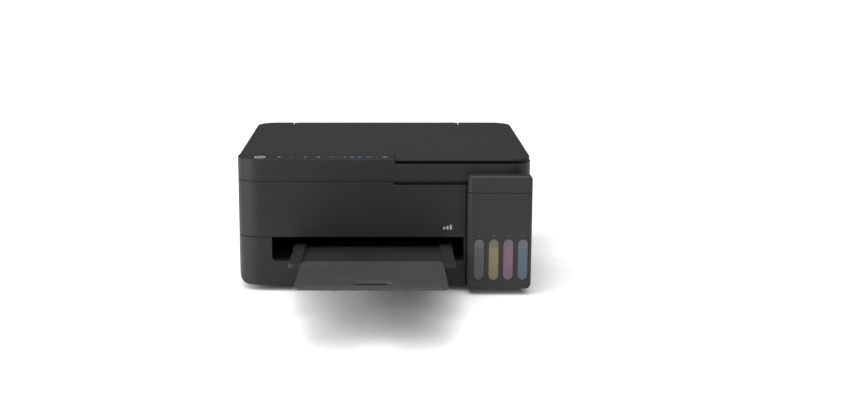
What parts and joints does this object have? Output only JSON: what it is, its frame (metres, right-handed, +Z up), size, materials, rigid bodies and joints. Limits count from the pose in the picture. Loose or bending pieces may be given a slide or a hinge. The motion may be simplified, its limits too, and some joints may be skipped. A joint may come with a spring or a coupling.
{
  "type": "inkjet printer",
  "caption": "Desktop all-in-one inkjet printer with refillable ink tanks, flatbed scanner, rear paper feeder and a drawn-out output tray.",
  "frame": {"origin": "centre of the footprint, on the surface that it stands on", "axes": "+Z up, +Y from the front panel to the back, +X to the right seen from the front"},
  "size_m": [0.375, 0.578, 0.172],
  "materials": {
    "shell": "fine-textured matt",
    "gloss": "satin",
    "inner": "matt",
    "grey": "matt",
    "rubber": "matt",
    "steel": "brushed",
    "white": "satin",
    "glass": "polished",
    "board": "solder mask",
    "ink_black": "translucent",
    "ink_yellow": "translucent",
    "ink_magenta": "translucent",
    "ink_cyan": "translucent"
  },
  "bodies": {
    "root": {"lower_housing": "shell", "upper_housing": "shell", "foot_front_left": "rubber", "foot_front_right": "rubber", "foot_rear_left": "rubber", "foot_rear_right": "rubber", "power_inlet": "inner", "usb_port": "steel", "chassis": "steel", "carriage_rail": "steel", "carriage_belt": "rubber", "carriage_motor": "steel", "platen": "inner", "star_wheel_bar": "grey", "cap_station": "grey", "mainboard": "board", "power_supply": "inner", "feeder_frame": "inner", "tank_housing": "shell", "ink_tank_black": "ink_black", "ink_tank_yellow": "ink_yellow", "ink_tank_magenta": "ink_magenta", "ink_tank_cyan": "ink_cyan", "feed_motor": "steel", "ink_tubes": "inner"},
    "scanner_unit": {"scanner_housing": "shell", "scanner_bezel": "inner", "scan_glass": "glass", "scan_rail": "steel", "control_panel": "gloss"},
    "document_lid": {"document_lid": "shell", "lid_pad": "white"},
    "tank_cover": {"tank_cover": "gloss"},
    "output_tray": {"output_tray": "shell"},
    "tray_extension": {"tray_extension": "grey"},
    "paper_support": {"paper_support": "shell"},
    "feeder_guard": {"feeder_guard": "shell"},
    "edge_guide_left": {"edge_guide_left": "grey"},
    "edge_guide_right": {"edge_guide_right": "grey"},
    "carriage": {"carriage": "inner", "print_head": "grey"},
    "motor_pulley": {"motor_pulley": "steel"},
    "belt_idler": {"belt_idler": "white"},
    "feed_roller": {"feed_roller": "steel", "feed_gear": "white"},
    "feed_pinion": {"feed_pinion": "steel"},
    "idler_gear": {"idler_gear": "white"},
    "exit_roller": {"exit_roller": "inner"},
    "pickup_roller": {"pickup_roller": "rubber"},
    "scan_bar": {"scan_bar": "grey"},
    "ink_cap_black": {"ink_cap_black": "inner"},
    "ink_cap_yellow": {"ink_cap_yellow": "inner"},
    "ink_cap_magenta": {"ink_cap_magenta": "inner"},
    "ink_cap_cyan": {"ink_cap_cyan": "inner"},
    "power_button": {"power_button": "gloss"},
    "wifi_button": {"wifi_button": "gloss"},
    "status_button": {"status_button": "gloss"},
    "mono_copy_button": {"mono_copy_button": "gloss"},
    "colour_copy_button": {"colour_copy_button": "gloss"},
    "stop_button": {"stop_button": "gloss"}
  },
  "joints": [
    {"name": "scanner_hinge", "type": "hinge", "parent": "root", "child": "scanner_unit", "pos_m": [0, 0.2835, 0.1674], "axis": [1, 0, 0], "range_deg": [-45, 0]},
    {"name": "lid_hinge", "type": "hinge", "parent": "scanner_unit", "child": "document_lid", "pos_m": [0, 0.2835, 0.1674], "axis": [-1, 0, 0], "range_deg": [0, 70]},
    {"name": "tank_cover_hinge", "type": "hinge", "parent": "root", "child": "tank_cover", "pos_m": [0.14615, -0.0402, 0.1524], "axis": [-1, 0, 0], "range_deg": [0, 90]},
    {"name": "ink_cap_black_hinge", "type": "hinge", "parent": "root", "child": "ink_cap_black", "pos_m": [0.12015, -0.0403, 0.1344], "axis": [-1, 0, 0], "range_deg": [0, 65]},
    {"name": "ink_cap_yellow_hinge", "type": "hinge", "parent": "root", "child": "ink_cap_yellow", "pos_m": [0.13855, -0.0403, 0.1344], "axis": [-1, 0, 0], "range_deg": [0, 65]},
    {"name": "ink_cap_magenta_hinge", "type": "hinge", "parent": "root", "child": "ink_cap_magenta", "pos_m": [0.15695, -0.0403, 0.1344], "axis": [-1, 0, 0], "range_deg": [0, 65]},
    {"name": "ink_cap_cyan_hinge", "type": "hinge", "parent": "root", "child": "ink_cap_cyan", "pos_m": [0.17535, -0.0403, 0.1344], "axis": [-1, 0, 0], "range_deg": [0, 65]},
    {"name": "tray_slide", "type": "slide", "parent": "root", "child": "output_tray", "axis": [0, 0.9986, -0.0523], "range_m": [0, 0.122]},
    {"name": "extension_slide", "type": "slide", "parent": "output_tray", "child": "tray_extension", "axis": [0, 0.9986, -0.0523], "range_m": [0, 0.122]},
    {"name": "support_slide", "type": "slide", "parent": "root", "child": "paper_support", "axis": [0, 0.2588, 0.9659], "range_m": [0, 0.08]},
    {"name": "guard_hinge", "type": "hinge", "parent": "root", "child": "feeder_guard", "pos_m": [-0.012, 0.2696, 0.1705], "axis": [1, 0, 0], "range_deg": [0, 110]},
    {"name": "left_guide_slide", "type": "slide", "parent": "root", "child": "edge_guide_left", "axis": [1, 0, 0], "range_m": [0, 0.058]},
    {"name": "right_guide_slide", "type": "slide", "parent": "root", "child": "edge_guide_right", "axis": [1, 0, 0], "range_m": [-0.058, 0]},
    {"name": "carriage_slide", "type": "slide", "parent": "root", "child": "carriage", "axis": [-1, 0, 0], "range_m": [0, 0.255]},
    {"name": "motor_pulley_spin", "type": "hinge", "parent": "root", "child": "motor_pulley", "pos_m": [0.1595, 0.185, 0.118], "axis": [0, 1, 0], "continuous": true},
    {"name": "belt_idler_spin", "type": "hinge", "parent": "root", "child": "belt_idler", "pos_m": [-0.1595, 0.185, 0.118], "axis": [0, 1, 0], "continuous": true},
    {"name": "feed_roller_spin", "type": "hinge", "parent": "root", "child": "feed_roller", "pos_m": [0, 0.165, 0.074], "axis": [1, 0, 0], "continuous": true},
    {"name": "feed_pinion_spin", "type": "hinge", "parent": "root", "child": "feed_pinion", "pos_m": [-0.18025, 0.165, 0.0497], "axis": [1, 0, 0], "continuous": true},
    {"name": "idler_gear_spin", "type": "hinge", "parent": "root", "child": "idler_gear", "pos_m": [-0.18025, 0.12776, 0.07616], "axis": [1, 0, 0], "continuous": true},
    {"name": "exit_roller_spin", "type": "hinge", "parent": "root", "child": "exit_roller", "pos_m": [0, 0.096, 0.078], "axis": [1, 0, 0], "continuous": true},
    {"name": "pickup_roller_spin", "type": "hinge", "parent": "root", "child": "pickup_roller", "pos_m": [-0.012, 0.236, 0.09], "axis": [1, 0, 0], "continuous": true},
    {"name": "scan_bar_slide", "type": "slide", "parent": "scanner_unit", "child": "scan_bar", "axis": [1, 0, 0], "range_m": [0, 0.293]},
    {"name": "power_button_press", "type": "slide", "parent": "scanner_unit", "child": "power_button", "axis": [0, 0, -1], "range_m": [0, 0.0005], "stiffness_N_per_m": 800},
    {"name": "wifi_button_press", "type": "slide", "parent": "scanner_unit", "child": "wifi_button", "axis": [0, 0, -1], "range_m": [0, 0.0005], "stiffness_N_per_m": 800},
    {"name": "status_button_press", "type": "slide", "parent": "scanner_unit", "child": "status_button", "axis": [0, 0, -1], "range_m": [0, 0.0005], "stiffness_N_per_m": 800},
    {"name": "mono_copy_button_press", "type": "slide", "parent": "scanner_unit", "child": "mono_copy_button", "axis": [0, 0, -1], "range_m": [0, 0.0005], "stiffness_N_per_m": 800},
    {"name": "colour_copy_button_press", "type": "slide", "parent": "scanner_unit", "child": "colour_copy_button", "axis": [0, 0, -1], "range_m": [0, 0.0005], "stiffness_N_per_m": 800},
    {"name": "stop_button_press", "type": "slide", "parent": "scanner_unit", "child": "stop_button", "axis": [0, 0, -1], "range_m": [0, 0.0005], "stiffness_N_per_m": 800}
  ],
  "couplings": [
    {"joint": "right_guide_slide", "follows": "left_guide_slide", "ratio": -1},
    {"joint": "motor_pulley_spin", "follows": "carriage_slide", "rad_per_m": 166.67},
    {"joint": "belt_idler_spin", "follows": "carriage_slide", "rad_per_m": 166.67},
    {"joint": "feed_pinion_spin", "follows": "feed_roller_spin", "ratio": -3},
    {"joint": "idler_gear_spin", "follows": "feed_roller_spin", "ratio": -0.94737},
    {"joint": "exit_roller_spin", "follows": "feed_roller_spin", "ratio": 1.5},
    {"joint": "pickup_roller_spin", "follows": "feed_roller_spin", "ratio": -0.5}
  ]
}
